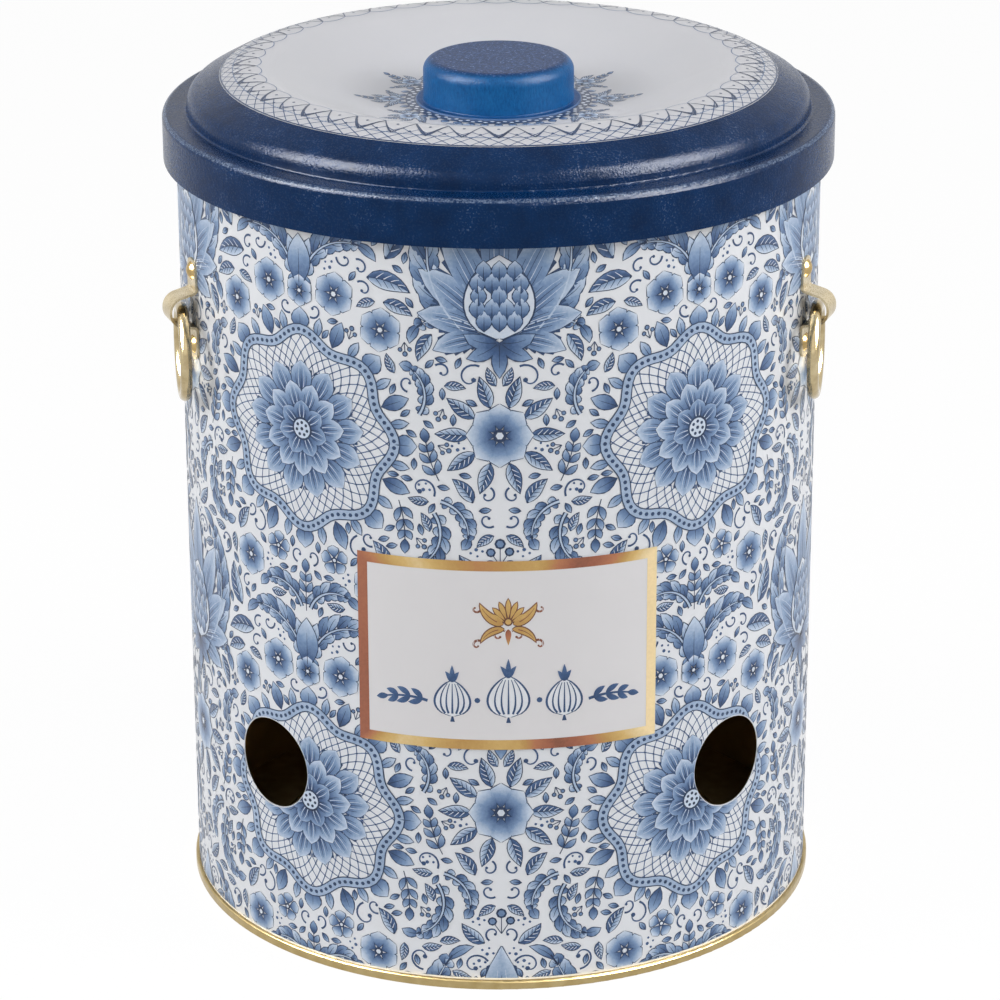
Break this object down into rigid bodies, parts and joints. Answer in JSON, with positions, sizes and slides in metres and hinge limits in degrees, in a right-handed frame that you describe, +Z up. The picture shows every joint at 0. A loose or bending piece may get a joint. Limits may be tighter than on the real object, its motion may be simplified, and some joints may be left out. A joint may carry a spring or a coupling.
{
  "type": "onion storage tin",
  "caption": "Round lidded storage tin for onions, with a knob on a raised lid, vent holes low in the wall and a drop ring on each side.",
  "frame": {"origin": "bottom centre of the base rim, on the tin's vertical axis", "axes": "+Z up along the tin's axis; -Y is the front with the label; +X is to the right as seen from the front"},
  "size_m": [0.1874, 0.1874, 0.243],
  "materials": {
    "printed_body": "tinplate printed in blues on white and varnished, semi-gloss",
    "gold_lacquer": "tinplate under clear gold lacquer, satin",
    "lid_enamel": "printed tinplate, navy at the edge and white on the dish, semi-gloss",
    "knob_enamel": "blue enamel, gloss",
    "strap_brass": "pale brass-plated strip, satin",
    "ring_brass": "polished brass wire",
    "rivet_brass": "bright brass, lightly polished",
    "plain_steel": "zinc-plated steel, satin"
  },
  "bodies": {
    "tin": {"body_shell": "printed_body", "base_end": "gold_lacquer", "left_strap": "strap_brass", "right_strap": "strap_brass", "left_upper_rivet": "rivet_brass", "left_upper_burr": "plain_steel", "left_lower_rivet": "rivet_brass", "left_lower_burr": "plain_steel", "right_upper_rivet": "rivet_brass", "right_upper_burr": "plain_steel", "right_lower_rivet": "rivet_brass", "right_lower_burr": "plain_steel"},
    "lid": {"lid_shell": "lid_enamel", "knob_cap": "knob_enamel", "knob_plate": "plain_steel", "knob_screw": "plain_steel", "knob_washer": "plain_steel"},
    "left_handle_ring": {"left_ring": "ring_brass"},
    "right_handle_ring": {"right_ring": "ring_brass"}
  },
  "joints": [
    {"name": "lid_lift", "type": "slide", "parent": "tin", "child": "lid", "axis": [0, 0, 1], "range_m": [0, 0.08]},
    {"name": "left_ring_swing", "type": "hinge", "parent": "tin", "child": "left_handle_ring", "pos_m": [-0.08757, -0.03361, 0.1807], "axis": [-0.1478, 0.989, 0], "range_deg": [0, 165]},
    {"name": "right_ring_swing", "type": "hinge", "parent": "tin", "child": "right_handle_ring", "pos_m": [0.08757, -0.03361, 0.1807], "axis": [-0.1478, -0.989, 0], "range_deg": [0, 165]}
  ]
}
